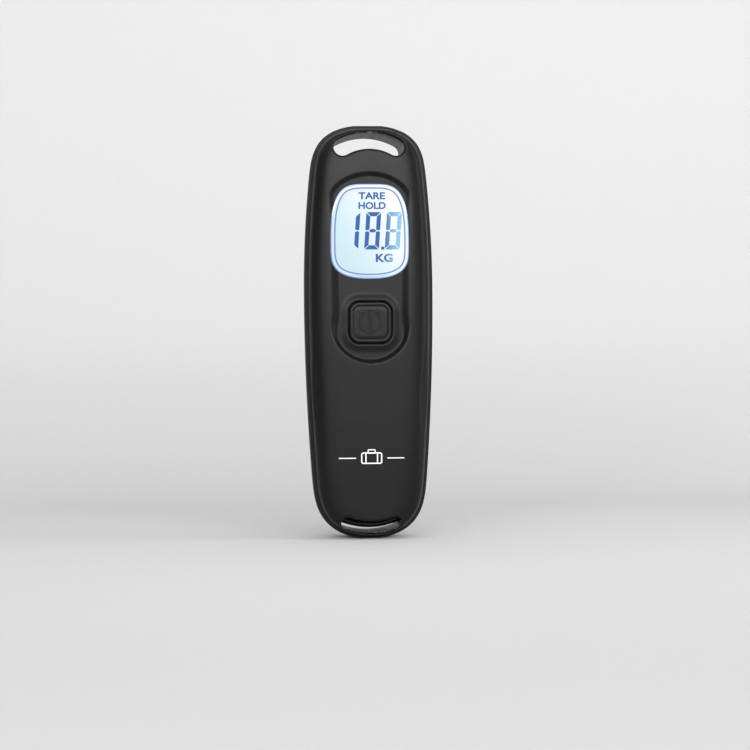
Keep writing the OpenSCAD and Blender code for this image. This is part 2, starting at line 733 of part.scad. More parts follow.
module yoke_plate() {
    color("#a9adb1") difference() {
        translate([0, 0, hand_slot_drop - yoke_bottom]) linear_extrude(yoke_thickness)
            hull() {
                for (s = [-1, 1]) translate([s * stirrup_reach, 0]) circle(stirrup_wire / 2 + 1.1);
                circle(load_bolt / 2 + 2.4);
            }
        z_cylinder(0, load_bolt / 2 + 0.1, yoke_bottom + 1, yoke_thickness + 2);
        for (s = [-1, 1])
            z_cylinder(s * stirrup_reach, stirrup_wire / 2 + 0.02, yoke_bottom + 1, yoke_thickness + 2);
    }
}
// Bent steel rod: two legs, two bends and a curved bar that follows the strap slot
module strap_stirrup() {
    radius = stirrup_wire / 2;
    pivot_drop = bar_drop - stirrup_arc;
    inner = stirrup_reach - stirrup_bend;
    swing = asin(inner / (stirrup_arc - stirrup_bend));
    bend_drop = pivot_drop + (stirrup_arc - stirrup_bend) * cos(swing);
    color("#2a2b2d") {
        translate([0, 0, hand_slot_drop - pivot_drop]) rotate([90, 0, 0]) rotate([0, 0, -90 - swing])
            rotate_extrude(angle = 2 * swing) translate([stirrup_arc, 0]) circle(radius, $fn = 32);
        mirrored_x() {
            translate([inner, 0, hand_slot_drop - bend_drop]) rotate([90, 0, 0]) rotate([0, 0, swing - 90])
                rotate_extrude(angle = 90 - swing) translate([stirrup_bend, 0]) circle(radius, $fn = 32);
            z_cylinder(stirrup_reach, radius, bend_drop, bend_drop - cell_bottom - 0.05);
            translate([stirrup_reach, 0, hand_slot_drop - bend_drop]) sphere(radius * 1.02);
            translate([stirrup_arc * sin(swing), 0, hand_slot_drop - pivot_drop - stirrup_arc * cos(swing)])
                sphere(radius * 1.02);
        }
    }
}

front_shell();
rear_shell();
window_lens();
window_gasket();
lcd_cell();
light_guide();
backlight_leds();
display_frame();
contact_strip();
circuit_board();
board_components();
controller_blob();
board_screws();
case_screws();
power_button();
switch_plunger();
switch_body();
coin_cell();
positive_contact();
negative_contact();
battery_cover();
battery_leads();
anchor_bracket();
bracket_screws();
anchor_bolt();
load_cell();
strain_gauges();
gauge_leads();
yoke_plate();
yoke_bolt();
strap_stirrup();
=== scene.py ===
# %% [markdown]
# # A digital luggage scale
# The CAD model fixes every size, so it is loaded first and nothing in it is moved. All the pieces
# that follow are built round it, in the same frame: +Z runs to the hand-slot end and the display
# looks along -Y. Sizes are worked out in millimetres and turned into metres when a mesh is made.

# %% Load the frame
import math

import bmesh
import bpy
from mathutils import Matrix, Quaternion, Vector, geometry
from mathutils.bvhtree import BVHTree


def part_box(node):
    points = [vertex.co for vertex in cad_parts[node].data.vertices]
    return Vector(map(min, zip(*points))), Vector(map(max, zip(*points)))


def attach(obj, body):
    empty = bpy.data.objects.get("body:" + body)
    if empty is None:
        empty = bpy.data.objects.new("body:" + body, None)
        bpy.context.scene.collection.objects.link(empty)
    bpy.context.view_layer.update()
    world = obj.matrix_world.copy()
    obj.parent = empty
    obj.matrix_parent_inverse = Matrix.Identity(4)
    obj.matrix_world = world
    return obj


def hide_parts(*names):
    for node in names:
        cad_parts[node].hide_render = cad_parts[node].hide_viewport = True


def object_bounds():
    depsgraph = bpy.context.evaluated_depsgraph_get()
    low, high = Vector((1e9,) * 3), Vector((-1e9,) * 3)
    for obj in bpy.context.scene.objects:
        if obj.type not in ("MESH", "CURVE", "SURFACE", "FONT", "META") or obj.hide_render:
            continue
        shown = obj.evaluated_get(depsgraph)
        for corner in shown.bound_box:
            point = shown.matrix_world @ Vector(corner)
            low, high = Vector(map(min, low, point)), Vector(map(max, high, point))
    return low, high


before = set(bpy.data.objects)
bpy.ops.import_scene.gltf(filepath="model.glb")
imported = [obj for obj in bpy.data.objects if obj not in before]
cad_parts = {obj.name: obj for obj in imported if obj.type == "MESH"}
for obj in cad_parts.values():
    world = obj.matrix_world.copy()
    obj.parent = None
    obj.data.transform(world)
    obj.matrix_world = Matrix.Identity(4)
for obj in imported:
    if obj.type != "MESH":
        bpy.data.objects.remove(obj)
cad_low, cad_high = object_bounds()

MM = 0.001


def box_mm(node):
    """The lowest and highest corner of a CAD node, in millimetres."""
    low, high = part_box(node)
    return low / MM, high / MM


def linked(name, data):
    """A new object in the scene."""
    made = bpy.data.objects.new(name, data)
    bpy.context.scene.collection.objects.link(made)
    return made


def as_mesh(thing):
    """What an object's modifiers make of it, as a plain mesh."""
    view = bpy.context.evaluated_depsgraph_get()
    return bpy.data.meshes.new_from_object(thing.evaluated_get(view))


# %% [markdown]
# ## Sizes
# A drop is a distance down from the top end. The boxes of the CAD nodes give the body, the window,
# the button and the battery bay. The curves of the outline aren't in a box, so their tapers and
# powers are written here, as they are on the drawing of the body.

# %% Sizes taken from the frame
rear_low, rear_high = box_mm("rear_shell")
front_low = box_mm("front_shell")[0]
lens_low, lens_high = box_mm("window_lens")
lcd_low = box_mm("lcd_cell")[0]
cap_low, cap_high = box_mm("power_button")
cover_low, cover_high = box_mm("battery_cover")
top_z = rear_high.z
body_length = rear_high.z - rear_low.z
body_width = rear_high.x - rear_low.x
seam_y = rear_low.y
back_y = rear_high.y
front_depth = seam_y - front_low.y
floor_y = lens_low.y + 0.2
window_drop = top_z - lens_high.z
window_bottom = top_z - lens_low.z
button_drop = top_z - (cap_low.z + cap_high.z) / 2
coin_drop = top_z - (cover_low.z + cover_high.z) / 2
print(f"body {body_length:.1f} x {body_width:.1f}, window {window_drop:.1f} to {window_bottom:.1f}")

# %% Sizes of the outline, the walls and the slots
wide_drop, upper_taper, lower_taper = 49, 3.56, 3.61
top_end, top_powers = 16.4, (3.9, 2.33)
bottom_end, bottom_powers = 22.2, (4.4, 1.92)
end_flat, end_roll, end_start = 0.2, 4, 0.4
front_power, rear_power = 3.6, 4
face_fall, back_fall, back_bulge = 1.16, 0.37, 1.5
seam_step, front_wall, rear_wall = 1.1, 1.6, 1.8
slot_rim = 1.3
hand_slot = dict(drop=top_z, reach=7.8, height=5.3, radius=16.0, bow=1)
strap_slot = dict(drop=body_length - 3.6, reach=7.1, height=3.6, radius=21.6, bow=-1)
recess_top, recess_bottom = window_drop - 3.5, button_drop + 13
button_gap, flange_overlap = 0.3, 0.9
button_width = cap_high.x - cap_low.x - 2 * flange_overlap + 2 * button_gap
button_height = cap_high.z - cap_low.z - 2 * flange_overlap + 2 * button_gap
button_corner = 3.3
print(f"button opening {button_width:.1f} x {button_height:.1f} at a drop of {button_drop:.1f}")

# %% [markdown]
# ## Sums as nodes
# The shells follow formulas and the finishes vary over a surface, so both need sums built from
# nodes. One small class wraps a socket and lets Python's own operators add the Math nodes, so a
# formula reads the same whether it works on numbers or on a whole surface.

# %% A socket that Python can calculate with
def both_ways(operation):
    """The method that adds a Math node, and the reflected one, whose terms come swapped."""
    return (lambda self, other: self.calc(operation, self, other),
            lambda self, other: self.calc(operation, other, self))


class Wire:
    """A socket of a node tree. Operators on it add Math nodes behind it."""

    def __init__(self, tree, socket=None):
        self.tree, self.socket = tree, socket

    def node(self, kind, inputs=None, out=0, **settings):
        """Adds a node: its settings first, then the values or links of its sockets."""
        made = self.tree.nodes.new(kind)
        for name, value in settings.items():
            setattr(made, name, value)
        for key, value in (inputs or {}).items():
            if isinstance(value, Wire):
                self.tree.links.new(value.socket, made.inputs[key])
            else:
                made.inputs[key].default_value = value
        return Wire(self.tree, made.outputs[out] if made.outputs else None)

    def pick(self, output):
        """Another output of the same node."""
        return Wire(self.tree, self.socket.node.outputs[output])

    def split(self, axes):
        """Coordinates of a vector, each as a wire."""
        parts = self.node("ShaderNodeSeparateXYZ", {"Vector": self})
        return [parts.pick(axis) for axis in axes]

    def calc(self, operation, *terms):
        return self.node("ShaderNodeMath", dict(enumerate(terms)), operation=operation)

    def __abs__(self):
        return self.calc("ABSOLUTE", self)

    __add__, __radd__ = both_ways("ADD")
    __sub__, __rsub__ = both_ways("SUBTRACT")
    __mul__, __rmul__ = both_ways("MULTIPLY")
    __truediv__, __rtruediv__ = both_ways("DIVIDE")
    __pow__, __rpow__ = both_ways("POWER")
    __lt__, __gt__ = both_ways("LESS_THAN")[0], both_ways("GREATER_THAN")[0]


# %% Helpers that work on numbers and on wires alike
def pair(operation, plain, a, b):
    wire = a if isinstance(a, Wire) else b
    return wire.calc(operation, a, b) if isinstance(wire, Wire) else plain(a, b)


def least(a, b):
    return pair("MINIMUM", min, a, b)


def most(a, b):
    return pair("MAXIMUM", max, a, b)


def unit(t):
    return least(most(t, 0), 1)


def root(t):
    return most(t, 0) ** 0.5


def eased(t):
    """0 to 1 with a soft start and a soft end."""
    t = unit(t)
    return t * t * (3 - 2 * t)


def soft_least(a, b, soft):
    """The lesser of two heights, with the crease between them rounded by soft."""
    return (a + b - ((a - b) ** 2 + soft * soft) ** 0.5) * 0.5


def soft_most(a, b, soft):
    return (a + b + ((a - b) ** 2 + soft * soft) ** 0.5) * 0.5


# %% [markdown]
# ## The outline and its sections
# Seen from the front, the body is a long bar with bulging sides and two rounded ends. Across, each
# half is half of a superellipse, which is fuller than an ellipse and rounder than a box. These few
# functions give its half width and its depth at any drop.

# %% Half width and depth at a drop
def end_cap(reach, size, powers):
    part = (least(most(reach, 0), size) + end_flat) / (size + end_flat)
    return most(1 - most(1 - part, 0) ** powers[0], 0) ** (1 / powers[1])


def half_width(drop, inset):
    upper = least(drop - wide_drop, 0) / wide_drop
    lower = most(drop - wide_drop, 0) / (body_length - wide_drop)
    side = body_width / 2 - upper_taper * (upper * upper) - lower_taper * (lower * lower)
    top_round = end_cap(drop - inset, top_end - inset, top_powers)
    bottom_round = end_cap(body_length - drop - inset, bottom_end - inset, bottom_powers)
    return (side - inset) * top_round * bottom_round


def crowned(drop, depth, fall):
    along = drop * (2 / body_length) - 1
    return depth - fall * (along * along)


def half_depth(drop, inset, depth, fall):
    reach = unit((least(drop, body_length - drop) - inset) / end_roll)
    return crowned(drop, depth, fall) * (end_start + (1 - end_start) * root(1 - (1 - reach) ** 2))


print(f"half width at the window {half_width(window_drop, 0):.1f}, at the waist {half_width(84, 0):.1f}")

# %% [markdown]
# ## What is pressed into the front face
# The front face isn't plain. A tongue-shaped recess holds the window and the button, and it has a
# sharp step at its top and its bottom and soft sides. A collar swells round the button. Below the
# window the face narrows to a waist, with a slanting flank each side. Every one of these is a
# distance to a simple shape, turned into a height, so the surface stays one smooth sheet.

# %% Distances to the shapes on the face
def from_tongue(x, drop):
    """Distance outside the recess's edge, negative inside it."""
    arch, bowl = 16.2, 12.9
    above = least(drop - (recess_top + arch), 0)
    below = most(drop - (recess_bottom - bowl), 0)
    narrower = 0.018 * (drop - window_drop)
    over_arch = root(x * x + above * above) - arch
    over_bowl = root(x * x + below * below) - bowl + narrower
    return soft_most(over_arch, over_bowl, 1.2)


def from_slot(x, drop, slot):
    """Distance outside a bent slot."""
    radius, bow = slot["radius"], slot["bow"]
    swing = math.asin(slot["reach"] / radius)
    across, up = abs(x), radius - bow * (drop - slot["drop"])
    round_arc = abs(root(across * across + up * up) - radius)
    to_end = root((across - radius * math.sin(swing)) ** 2 + (up - radius * math.cos(swing)) ** 2)
    within = (across * math.cos(swing) - up * math.sin(swing)) < 0
    return within * round_arc + (1 - within) * to_end - slot["height"] / 2


def from_button(x, drop):
    """Distance outside the button's opening."""
    across = abs(x) - (button_width / 2 - button_corner)
    along = abs(drop - button_drop) - (button_height / 2 - button_corner)
    return root(most(across, 0) ** 2 + most(along, 0) ** 2) - button_corner


def rolled_edge(distance, radius):
    """How far a rounded lip has sunk at a distance from an opening."""
    near = unit(1 - distance / radius)
    return radius * (1 - root(1 - near * near))


def with_lips(x, drop, height):
    """A height with the rolled lips of both slots taken off."""
    for slot in (hand_slot, strap_slot):
        height = height - rolled_edge(from_slot(x, drop, slot), 0.7)
    return most(height, 0)


# %% Height of the front face above the seam
waist_drop, waist_flank, flank_slope = 80, 3.9, 1.2
flank_start, flank_end = 31, 109


def flank_width(drop):
    """How wide the slanting flank is beside the waist."""
    falling = unit((drop - flank_start) / (waist_drop - flank_start))
    rising = unit((flank_end - drop) / (flank_end - waist_drop))
    return waist_flank * eased(falling) ** 0.8 * eased(rising) ** 0.8


def front_relief(x, drop, edge, height):
    """The plain section's height, with the flanks, the recess, the collar and the lips."""
    crown = crowned(drop, front_depth, face_fall)
    flank = crown + flank_slope * (edge - flank_width(drop) - abs(x))
    height = soft_least(height, flank, 0.35)
    inward = from_tongue(x, drop) * -1
    soft_side = eased((drop - recess_top - 2) / 14) * eased((recess_bottom - 5 - drop) / 12)
    press = eased(inward / (1.15 + 2.3 * soft_side))
    floor = seam_y - floor_y
    height = height - press * most(height - floor, 0)
    to_button = from_button(x, drop)
    height = height + 0.5 * (1 - eased(to_button / 2.6)) - rolled_edge(to_button, 0.45)
    return with_lips(x, drop, height)


def rear_relief(x, drop, edge, height):
    """The plain section's height, cut off softly at the flat back."""
    flat = back_y - seam_y
    return with_lips(x, drop, least(soft_least(height, flat + 0.1, 0.5), flat))


# %% [markdown]
# ## Lofting the shells with Geometry Nodes
# A grid is wound round each section and pulled to its place by the formulas, row after row. The
# first and the last row lie flat, which closes the ends, and the columns past the seam lie on the
# seam's plane, which closes the back. Most columns crowd onto the curved side, except at the ends,
# where the two sides have to meet. Merging by distance then leaves one closed solid.

# %% Make a tree with named inputs, and run it
def new_tree(label, sizes):
    """A Geometry Nodes tree, the wire to build on, and its inputs by name."""
    tree = bpy.data.node_groups.new(label, "GeometryNodeTree")
    kinds = {int: "NodeSocketInt", float: "NodeSocketFloat", str: "NodeSocketMaterial"}
    tree.interface.new_socket("Geometry", in_out="INPUT", socket_type="NodeSocketGeometry")
    for name, value in sizes.items():
        socket = tree.interface.new_socket(name, in_out="INPUT", socket_type=kinds[type(value)])
        if not isinstance(value, str):
            socket.default_value = value
    tree.interface.new_socket("Geometry", in_out="OUTPUT", socket_type="NodeSocketGeometry")
    start = Wire(tree).node("NodeGroupInput")
    return tree, start


def grow(label, tree, values, material, base=None):
    """Runs a tree on an object and returns the result as a plain mesh object."""
    carrier = linked(label + "_carrier", base or bpy.data.meshes.new(label))
    modifier = carrier.modifiers.new("grow", "NODES")
    modifier.node_group = tree
    for item in tree.interface.items_tree:
        if item.in_out == "INPUT" and item.name in values:
            modifier[item.identifier] = values[item.name]
        if item.in_out == "INPUT" and item.name == "Finish":
            modifier[item.identifier] = material
    mesh = as_mesh(carrier)
    bpy.data.objects.remove(carrier)
    mesh.name = label
    return linked(label, mesh)


def finish_tree(shape):
    """Ends a tree as the export needs it: real geometry, with its material set."""
    start = Wire(shape.tree, shape.tree.nodes["Group Input"].outputs["Finish"])
    real = shape.node("GeometryNodeRealizeInstances", {0: shape})
    painted = real.node("GeometryNodeSetMaterial", {"Geometry": real, "Material": start})
    painted.node("NodeGroupOutput", {0: painted})


# %% The loft of one half body
FRONT_SHARE, SEAM_COLUMN = 0.74, 1.4


def loft_tree(label, side, plane, depth, fall, power, relief):
    """A closed half body. Its relief function shapes the height that the section gives."""
    sizes = {"Inset": 0.0, "Columns": 240, "Rows": 360, "Finish": ""}
    tree, start = new_tree(label, sizes)
    inset, columns, rows = start.pick("Inset"), start.pick("Columns"), start.pick("Rows")
    grid = start.node("GeometryNodeMeshGrid", {
        "Size X": 4.0, "Size Y": 1.0, "Vertices X": columns, "Vertices Y": rows})
    column, row = start.node("GeometryNodeInputPosition").split("XY")
    step = 1 / (rows - 3)
    crowded = 2 * least((column + 2) / (SEAM_COLUMN + 2), 1) - 1
    crowded = crowded + 2 * most(column - SEAM_COLUMN, 0) / (2 - SEAM_COLUMN)
    from_end = unit((0.5 - abs(row) - 2 * step) * 40)
    walk = column + 1 + from_end * (crowded - column - 1)
    shown = walk < 1.0001
    walk = 1 - abs(walk - 1)
    across = most(least(walk / FRONT_SHARE, 1), -1)
    up = 1 - most(abs(walk) - FRONT_SHARE, 0) / (1 - FRONT_SHARE)
    along = (row + 0.5) * (1 + 2 * step) - step
    lifted = shown * (along > step * -0.5) * (along < 1 + step * 0.5)
    along = unit(along)
    spread = 0.4 * along + 0.3 * (1 - along.calc("COSINE", along * math.pi))
    drop = inset + (body_length - 2 * inset) * spread
    edge = half_width(drop, inset)
    reach = (abs(across) ** power + most(up, 0) ** power) ** (-1 / power)
    x = edge * across * reach
    height = half_depth(drop, inset, depth, fall) * up * reach
    height = relief(x, drop, edge, height) * lifted
    spot = start.node("ShaderNodeCombineXYZ", {
        "X": x * MM, "Y": (plane + side * height) * MM, "Z": (top_z - drop) * MM})
    placed = start.node("GeometryNodeSetPosition", {"Geometry": grid, "Position": spot})
    merged = start.node("GeometryNodeMergeByDistance", {"Geometry": placed, "Distance": 0.00001})
    finish_tree(merged if side > 0 else start.node("GeometryNodeFlipFaces", {"Mesh": merged}))
    return tree


# %% [markdown]
# ## Outlines, prisms and stacks
# What is cut out of the shells, and most of the small pieces, starts as an outline drawn in the XZ
# plane. A prism runs it straight back, and a stack gives it a bevelled edge by shrinking it a
# little at each depth.

# %% Outlines in the XZ plane, in millimetres
def circle_points(x, drop, radius, steps=72):
    turns = [2 * math.pi * k / steps for k in range(steps)]
    return [(x + radius * math.cos(a), top_z - drop + radius * math.sin(a)) for a in turns]


def box_points(x0, x1, drop0, drop1):
    return [(x0, top_z - drop0), (x0, top_z - drop1), (x1, top_z - drop1), (x1, top_z - drop0)]


def rounded_points(width, height, radius, drop, steps=12):
    corners = [(1, 1), (-1, 1), (-1, -1), (1, -1)]
    points = []
    for quarter, (sx, sz) in enumerate(corners):
        for k in range(steps + 1):
            a = math.pi / 2 * (quarter + k / steps)
            points.append((sx * (width / 2 - radius) + radius * math.cos(a),
                           top_z - drop + sz * (height / 2 - radius) + radius * math.sin(a)))
    return points


def slot_points(slot, grown=0.0, steps=28):
    """A bent slot: the outer arc, a round end, the inner arc, and the other round end."""
    radius, bow, half = slot["radius"], slot["bow"], slot["height"] / 2 + grown
    swing = math.asin(slot["reach"] / radius)
    points = []
    for side in (1, -1):
        for k in range(steps + 1):
            a = side * swing * (2 * k / steps - 1)
            points.append(((radius + side * half) * math.sin(a), (radius + side * half) * math.cos(a)))
        end = (side * radius * math.sin(swing), radius * math.cos(swing))
        for k in range(1, 14):
            a = math.pi / 2 - side * swing - math.pi * k / 14
            a = a if side > 0 else math.pi / 2 + swing + math.pi - math.pi * k / 14
            points.append((end[0] + half * math.cos(a), end[1] + half * math.sin(a)))
    return [(x, top_z - slot["drop"] + bow * (z - radius)) for x, z in points]


def node_outline(node):
    """The outline of a CAD node whose shape has no hollows, seen along the depth."""
    flat = [Vector((v.co.x, v.co.z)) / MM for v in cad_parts[node].data.vertices]
    hull = [flat[i] for i in geometry.convex_hull_2d(flat)]
    even = [p for k, p in enumerate(hull) if (p - hull[k - 1]).length > 0.02]
    return [(p.x, p.y) for p in even]


def inset_points(points, distance):
    """The same outline moved in by a distance, or out by a negative one."""
    turn = sum(points[k - 1][0] * p[1] - p[0] * points[k - 1][1] for k, p in enumerate(points))
    way = 1 if turn > 0 else -1
    moved = []
    for k, p in enumerate(points):
        here, before, after = Vector(p), Vector(points[k - 1]), Vector(points[(k + 1) % len(points)])
        first, second = (here - before).normalized(), (after - here).normalized()
        normal = Vector((-(first.y + second.y), first.x + second.x)).normalized() * way
        lean = max(0.5, normal.dot(Vector((-first.y, first.x)) * way))
        moved.append(tuple(here + normal * (distance / lean)))
    return moved


# %% Meshes from outlines
def mesh_object(name, points, faces):
    """A mesh object from points in millimetres, with its faces turned outwards."""
    mesh = bpy.data.meshes.new(name)
    mesh.from_pydata([Vector(p) * MM for p in points], [], faces)
    work = bmesh.new()
    work.from_mesh(mesh)
    bmesh.ops.recalc_face_normals(work, faces=work.faces)
    work.to_mesh(mesh)
    work.free()
    return linked(name, mesh)


def stack(name, outline, levels):
    """A closed solid from one outline: each level is how far it is moved in, and its depth."""
    points, faces, count = [], [], len(outline)
    for inward, depth in levels:
        points += [(x, depth, z) for x, z in (inset_points(outline, inward) if inward else outline)]
    for level in range(len(levels) - 1):
        for k in range(count):
            a, b = level * count + k, level * count + (k + 1) % count
            faces.append((a, b, b + count, a + count))
    faces.append(tuple(range(count)))
    faces.append(tuple(range(len(points) - 1, len(points) - count - 1, -1)))
    return mesh_object(name, points, faces)


def prism(outline, front, back):
    return stack("prism", outline, [(0, front), (0, back)])


def rod(x, drop, radius, front, back):
    return prism(circle_points(x, drop, radius), front, back)


def shaped(body, *steps):
    """Runs boolean steps on a solid: each is an operation and the tools it uses up."""
    for operation, tools in steps:
        for tool in tools:
            cut = body.modifiers.new(operation, "BOOLEAN")
            cut.operation, cut.solver, cut.object = operation, "MANIFOLD", tool
    mesh = as_mesh(body)
    body.modifiers.clear()
    body.data = mesh
    for operation, tools in steps:
        for tool in tools:
            bpy.data.objects.remove(tool)
    return body


def smooth(piece, sharp=34):
    """Smooth shading that keeps the edges sharper than an angle in degrees."""
    piece.data.shade_smooth()
    piece.data.set_sharp_from_angle(angle=math.radians(sharp))
    return piece


def fit(piece, finish, body, slot, *nodes):
    """Gives a piece its finish and its CAD body, and hides the CAD nodes it stands for. The slot is not
    used.
    """
    piece.data.materials.clear()
    piece.data.materials.append(finish)
    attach(piece, body)
    if nodes:
        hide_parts(*nodes)
    print(piece.name, len(piece.data.polygons), "faces")
    return piece


# %% [markdown]
# ## The front housing
# The real one is a moulded shell, painted soft black. The fine sheet from the loft is its outside.
# A second loft, set in by the wall, is hollowed out of it, but not where the tunnel of the hand
# slot and the screw bosses stand. Then the slots, the window and the button's opening go through.

# %% Front housing
def half_shell(name, side, depth, fall, power, relief, wall, hollow_depth, inset, rows):
    """The outside of one half, and the core that is cut out of it."""
    outside = loft_tree(name + "_loft", side, seam_y, depth, fall, power, relief)
    inside = loft_tree(name + "_hollow", side, seam_y - side * 0.01, depth - wall, fall, power,
                       lambda x, drop, edge, height: least(height, hollow_depth))
    return (grow(name + "_housing", outside, {"Inset": inset, "Columns": 201, "Rows": rows}, None),
            grow(name + "_core", inside, {"Inset": inset + wall, "Columns": 81, "Rows": 90}, None))


front, front_core = half_shell(
    "front", -1, front_depth, face_fall, front_power, front_relief, front_wall,
    hollow_depth=seam_y - (floor_y + front_wall), inset=seam_step, rows=420)
screw_low, screw_high = box_mm("case_screws")
screw_radius, screw_head_height, top_screw_drop = 1.95, 1.5, 12.3
screw_places = [(s * (screw_high.x - screw_radius), screw_low.z + screw_radius) for s in (-1, 1)]
top_screw_x = half_width(top_screw_drop, rear_wall) - 2.6
screw_places += [(s * top_screw_x, top_z - top_screw_drop) for s in (-1, 1)]
print("case screws at", [(round(x, 1), round(z, 1)) for x, z in screw_places])


def at_screws(radius, front_y, rear_y):
    return [rod(x, top_z - z, radius, front_y, rear_y) for x, z in screw_places]


front_core = shaped(front_core, ("DIFFERENCE", [
    prism(slot_points(hand_slot, slot_rim), cad_low.y / MM - 2, seam_y + 2),
    *at_screws(2.4, cad_low.y / MM - 2, seam_y + 2)]))
lens_line = node_outline("window_lens")
through = cad_low.y / MM - 4
front = shaped(front, ("DIFFERENCE", [
    front_core,
    *[prism(slot_points(slot), through, seam_y + 2) for slot in (hand_slot, strap_slot)],
    prism(inset_points(lens_line, -0.15), through, lens_high.y + 0.3),
    prism(inset_points(lens_line, 1), through, seam_y + 1),
    prism(rounded_points(button_width, button_height, button_corner, button_drop), through, seam_y),
    *at_screws(1.1, cad_low.y / MM + 3.2, seam_y + 1)]))
smooth(front, 62)
print("front housing:", len(front.data.polygons), "faces")

# %% [markdown]
# ## The rear housing
# The rear shell is the deeper half, and its edge stands out round the front one as a dark band. Its
# back is cut off flat, and holds the bay for the coin cell and four deep screw holes. It is made
# the same way: a fine loft outside, a hollow with the bosses left standing, and then the cuts.

# %% Battery bay
rear_bulge = back_y - seam_y + back_bulge
cell_low, cell_high = box_mm("coin_cell")
cup_radius = (cell_high.x - cell_low.x) / 2 + 0.3
skirt_inner, skirt_outer = cup_radius + 1.3, cup_radius + 2.3
cover_radius = skirt_outer + 1.2
cover_gap, lug_angle, lug_count, cover_turn = 0.25, 24, 3, 50
cover_sink, cover_disc, skirt_length, lug_thickness = 0.1, 1.9, 1.7, 0.9
cover_front = back_y - cover_sink - cover_disc
skirt_end = cover_front - skirt_length
cup_floor = cell_low.y - 0.4


def ring(inner, outer, front_y, rear_y):
    band = rod(0, coin_drop, outer, front_y, rear_y)
    return shaped(band, ("DIFFERENCE", [rod(0, coin_drop, inner, front_y - 1, rear_y + 1)]))


def lugs(radius, width, turn, front_y, rear_y):
    """Sectors outside the skirt, evenly spaced round the cover and turned by an angle."""
    made = []
    for k in range(lug_count):
        middle = 90 + turn + 360 * k / lug_count
        angles = [math.radians(middle + width * (step / 8 - 0.5)) for step in range(9)]
        outer = [(radius * math.cos(a), radius * math.sin(a)) for a in angles]
        root_radius = skirt_outer - 0.3
        inner = [(root_radius * math.cos(a), root_radius * math.sin(a)) for a in angles]
        made.append(prism([(x, top_z - coin_drop + z) for x, z in outer + inner[::-1]], front_y, rear_y))
    return made


# %% Rear housing
rear, rear_core = half_shell(
    "rear", 1, rear_bulge, back_fall, rear_power, rear_relief, rear_wall,
    hollow_depth=back_y - rear_wall - seam_y, inset=0.0, rows=300)
bracket_high = box_mm("anchor_bracket")[1]
pull_travel, bar_top_drop, web_share, web_half = 0.4, body_length - 5, 0.405, 0.6
bolt_lowest = top_z - box_mm("yoke_bolt")[0].z + pull_travel
ceiling = bolt_lowest * (1 - web_share) + bar_top_drop * web_share
rear_core = shaped(rear_core, ("DIFFERENCE", [
    prism(slot_points(hand_slot, slot_rim), seam_y - 2, back_y + 2),
    rod(0, coin_drop, cover_radius + cover_gap + 1.5, cup_floor - 1, back_y + 2),
    prism(box_points(-7.1, 7.1, ceiling - web_half, ceiling + web_half), seam_y - 2, back_y + 2),
    *at_screws(2.9, seam_y - 2, back_y + 2),
    *[rod(s * 9, top_z - bracket_high.z + 3.5, 3.2, bracket_high.y, back_y + 2) for s in (-1, 1)]]))
cut_back = back_y + 2
rear = shaped(rear, ("DIFFERENCE", [
    rear_core,
    *[prism(slot_points(slot), seam_y - 2, cut_back) for slot in (hand_slot, strap_slot)],
    rod(0, coin_drop, cup_radius, cup_floor, cut_back),
    rod(0, coin_drop, cover_radius + cover_gap, cover_front - 0.1, cut_back),
    ring(skirt_inner - 0.2, skirt_outer + 0.2, skirt_end - 0.2, back_y),
    ring(skirt_inner - 0.2, cover_radius + 0.25, skirt_end - 0.2, skirt_end + lug_thickness + 0.2),
    *lugs(cover_radius + 0.25, lug_angle + 5, cover_turn, skirt_end - 0.2, back_y),
    *at_screws(1.3, seam_y - 2, cut_back),
    *at_screws(screw_radius + 0.2, screw_high.y - screw_head_height, cut_back)]))
smooth(rear)
print("rear housing:", len(rear.data.polygons), "faces")

# %% [markdown]
# ## Finishes
# Every finish starts from one helper that makes a material and hands back three things: the material,
# a wire to build on, and its shader node, which a second helper feeds. What is the same all over is
# set on the shader; only what varies over the surface is linked.

# %% Start a finish
def new_finish(name, **constants):
    """A material, a wire at its object coordinates, and its shader node."""
    made = bpy.data.materials.new(name)
    made.use_nodes = True
    made.node_tree.nodes.clear()
    start = Wire(made.node_tree)
    shader = start.node("ShaderNodeBsdfPrincipled").socket.node
    start.node("ShaderNodeOutputMaterial", {"Surface": Wire(start.tree, shader.outputs[0])})
    for label, value in constants.items():
        shader.inputs[label.replace("_", " ")].default_value = value
    return made, start.node("ShaderNodeTexCoord", out="Object"), shader


def feed(shader, **sources):
    """Links what varies over the surface to the shader's sockets."""
    for label, wire in sources.items():
        wire.tree.links.new(wire.socket, shader.inputs[label.replace("_", " ")])


def speckle(place, size, detail=2.0, rough=0.5):
    """Noise from 0 to 1 with grains of a size in millimetres."""
    return place.node("ShaderNodeTexNoise", {
        "Vector": place, "Scale": 1 / (size * MM), "Detail": detail, "Roughness": rough})


def bumped(height, depth):
    """A normal from a height, whose full range stands for a depth in millimetres."""
    return height.node("ShaderNodeBump", {"Height": height, "Strength": 1.0, "Distance": depth * MM})


def tinted(mask, low, high):
    """A colour between two, by a mask."""
    first, second, result = 6, 7, 2
    shades = {k: v if isinstance(v, Wire) else (*v, 1) for k, v in ((first, low), (second, high))}
    return mask.node("ShaderNodeMix", {0: mask, **shades}, out=result, data_type="RGBA")


# %% [markdown]
# ### Soft-touch black
# The shell is moulded plastic under a matt rubbery paint. Close up it has a very fine grain, it
# is a little glossier where hands rub it, and its sharp edges polish first. Grain goes to the bump,
# rubbing to the roughness, and the edges are found by how pointed the mesh is.

